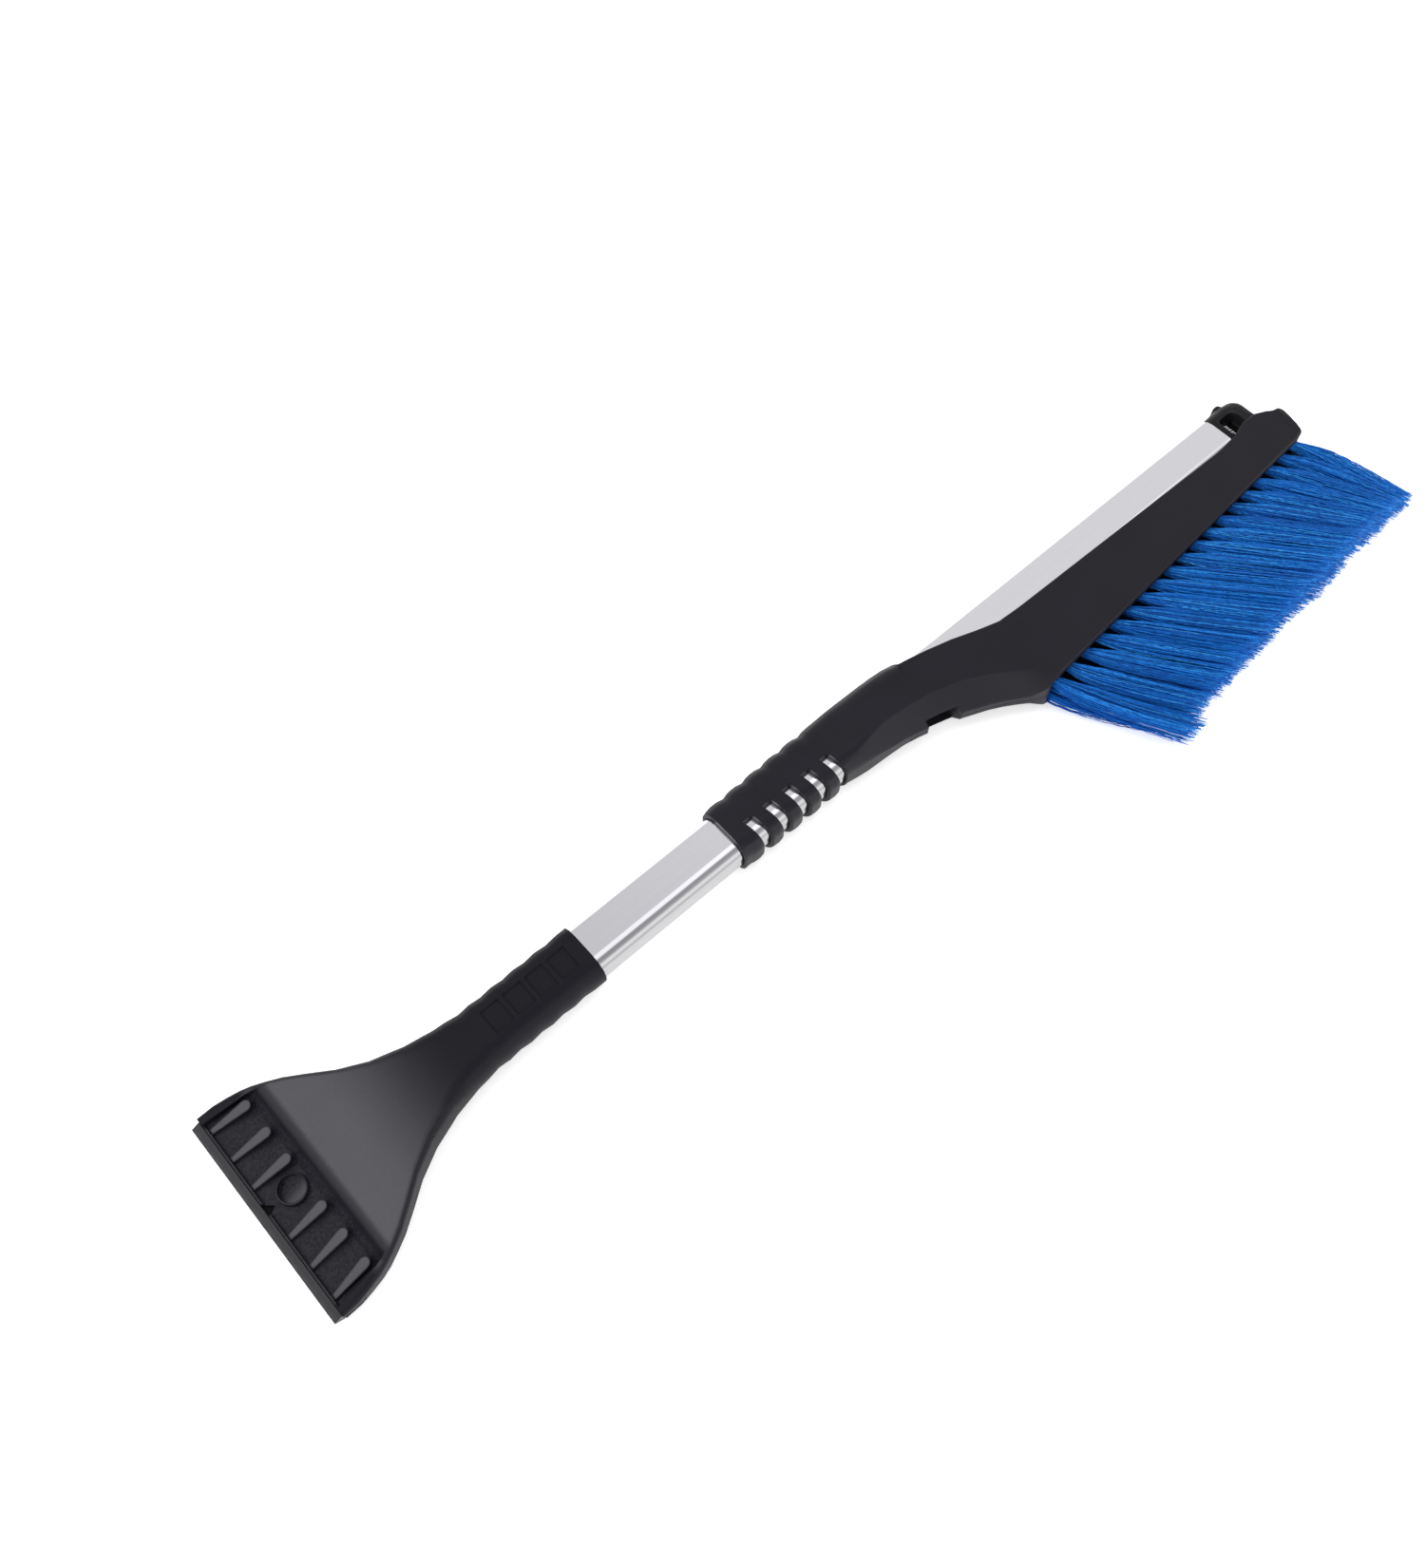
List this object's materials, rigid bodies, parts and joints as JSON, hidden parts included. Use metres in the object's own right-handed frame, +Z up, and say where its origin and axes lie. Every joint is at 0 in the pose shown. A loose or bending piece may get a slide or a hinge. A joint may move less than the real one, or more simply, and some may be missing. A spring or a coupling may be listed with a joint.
{
  "type": "windshield ice scraper",
  "caption": "Telescoping snow brush and ice scraper: a ribbed scraper head on a flat-oval aluminium tube, and a bristle carrier that slides along it and is held by a sprung button.",
  "frame": {"origin": "bottom centre of the whole object's box, as it lies stowed with its scraper ribs up", "axes": "+X along the handle from the scraper's blade to the brush end, +Z up out of the ribbed face, bristles pointing to -Y"},
  "size_m": [0.6296, 0.1516, 0.0335],
  "materials": {
    "black_plastic": "moulded black plastic with a fine texture",
    "blade_plastic": "smooth dark grey plastic",
    "aluminium": "satin extruded aluminium",
    "steel": "zinc plated steel",
    "bristle_blue": "blue plastic filaments"
  },
  "bodies": {
    "handle": {"blade_screw_1": "steel", "blade_screw_2": "steel", "end_plug": "black_plastic", "handle_tube": "aluminium", "head_screw_1": "steel", "head_screw_2": "steel", "lock_spring": "steel", "plug_screw": "steel", "scraper_blade": "blade_plastic", "scraper_head": "black_plastic"},
    "lock_button": {"lock_button": "black_plastic"},
    "brush": {"bristle_bar": "black_plastic", "brush_body": "black_plastic", "rear_cover": "black_plastic", "shell_screw_1": "steel", "shell_screw_2": "steel", "shell_screw_3": "steel", "shell_screw_4": "steel", "tuft_a_01": "bristle_blue", "tuft_a_02": "bristle_blue", "tuft_a_03": "bristle_blue", "tuft_a_04": "bristle_blue", "tuft_a_05": "bristle_blue", "tuft_a_06": "bristle_blue", "tuft_a_07": "bristle_blue", "tuft_a_08": "bristle_blue", "tuft_a_09": "bristle_blue", "tuft_a_10": "bristle_blue", "tuft_a_11": "bristle_blue", "tuft_a_12": "bristle_blue", "tuft_a_13": "bristle_blue", "tuft_a_14": "bristle_blue", "tuft_a_15": "bristle_blue", "tuft_a_16": "bristle_blue", "tuft_a_17": "bristle_blue", "tuft_a_18": "bristle_blue", "tuft_a_19": "bristle_blue", "tuft_b_01": "bristle_blue", "tuft_b_02": "bristle_blue", "tuft_b_03": "bristle_blue", "tuft_b_04": "bristle_blue", "tuft_b_05": "bristle_blue", "tuft_b_06": "bristle_blue", "tuft_b_07": "bristle_blue", "tuft_b_08": "bristle_blue", "tuft_b_09": "bristle_blue", "tuft_b_10": "bristle_blue", "tuft_b_11": "bristle_blue", "tuft_b_12": "bristle_blue", "tuft_b_13": "bristle_blue", "tuft_b_14": "bristle_blue", "tuft_b_15": "bristle_blue", "tuft_b_16": "bristle_blue", "tuft_b_17": "bristle_blue", "tuft_b_18": "bristle_blue", "tuft_b_19": "bristle_blue"}
  },
  "joints": [
    {"name": "brush_slide", "type": "slide", "parent": "handle", "child": "brush", "axis": [1, 0, 0], "range_m": [0, 0.231]},
    {"name": "lock_press", "type": "slide", "parent": "handle", "child": "lock_button", "axis": [0, 1, 0], "range_m": [0, 0.004], "stiffness_N_per_m": 400, "springref_m": -0.003, "deforming": ["lock_spring"]}
  ]
}
